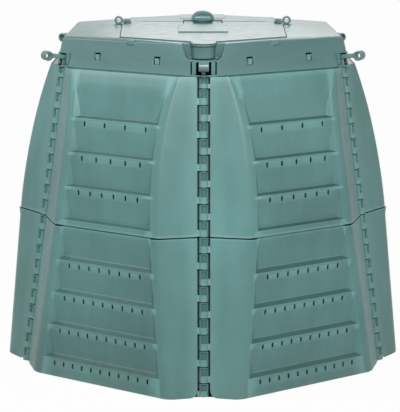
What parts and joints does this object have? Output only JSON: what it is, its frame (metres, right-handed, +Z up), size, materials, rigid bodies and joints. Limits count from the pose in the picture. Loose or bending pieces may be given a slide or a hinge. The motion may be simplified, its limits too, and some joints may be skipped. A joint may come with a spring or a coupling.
{
  "type": "compost bin",
  "caption": "Hexagonal plastic compost bin with louvred walls, upright seam rods, hinged filling flaps and a vent knob.",
  "frame": {"origin": "middle of the base outline, on the ground", "axes": "+Z up; one seam faces -Y, the front; +X to the right, across a flat side; the flaps hinge on a line along X"},
  "size_m": [1.2612, 1.3276, 1.0833],
  "materials": {
    "wall_plastic": "satin",
    "lid_plastic": "satin",
    "rod_plastic": "satin"
  },
  "bodies": {
    "bin": {"lower_wall_1": "wall_plastic", "lower_wall_2": "wall_plastic", "lower_wall_3": "wall_plastic", "lower_wall_4": "wall_plastic", "lower_wall_5": "wall_plastic", "lower_wall_6": "wall_plastic", "upper_wall_1": "wall_plastic", "upper_wall_2": "wall_plastic", "upper_wall_3": "wall_plastic", "upper_wall_4": "wall_plastic", "upper_wall_5": "wall_plastic", "upper_wall_6": "wall_plastic", "seam_rod_1": "rod_plastic", "seam_rod_2": "rod_plastic", "seam_rod_3": "rod_plastic", "seam_rod_4": "rod_plastic", "seam_rod_5": "rod_plastic", "seam_rod_6": "rod_plastic", "roof": "lid_plastic", "right_hinge_pin": "rod_plastic", "left_hinge_pin": "rod_plastic"},
    "front_flap_body": {"front_flap": "lid_plastic"},
    "rear_flap_body": {"rear_flap": "lid_plastic"},
    "vent": {"vent_knob": "lid_plastic", "vent_disc": "rod_plastic", "spindle_clip": "rod_plastic"}
  },
  "joints": [
    {"name": "front_flap_hinge", "type": "hinge", "parent": "bin", "child": "front_flap_body", "pos_m": [0, 0, 1.048], "axis": [-1, 0, 0], "range_deg": [0, 88]},
    {"name": "rear_flap_hinge", "type": "hinge", "parent": "bin", "child": "rear_flap_body", "pos_m": [0, 0, 1.048], "axis": [1, 0, 0], "range_deg": [0, 88]},
    {"name": "vent_turn", "type": "hinge", "parent": "bin", "child": "vent", "pos_m": [0, 0, 1.042], "axis": [0, 0, 1], "range_deg": [0, 30]}
  ]
}
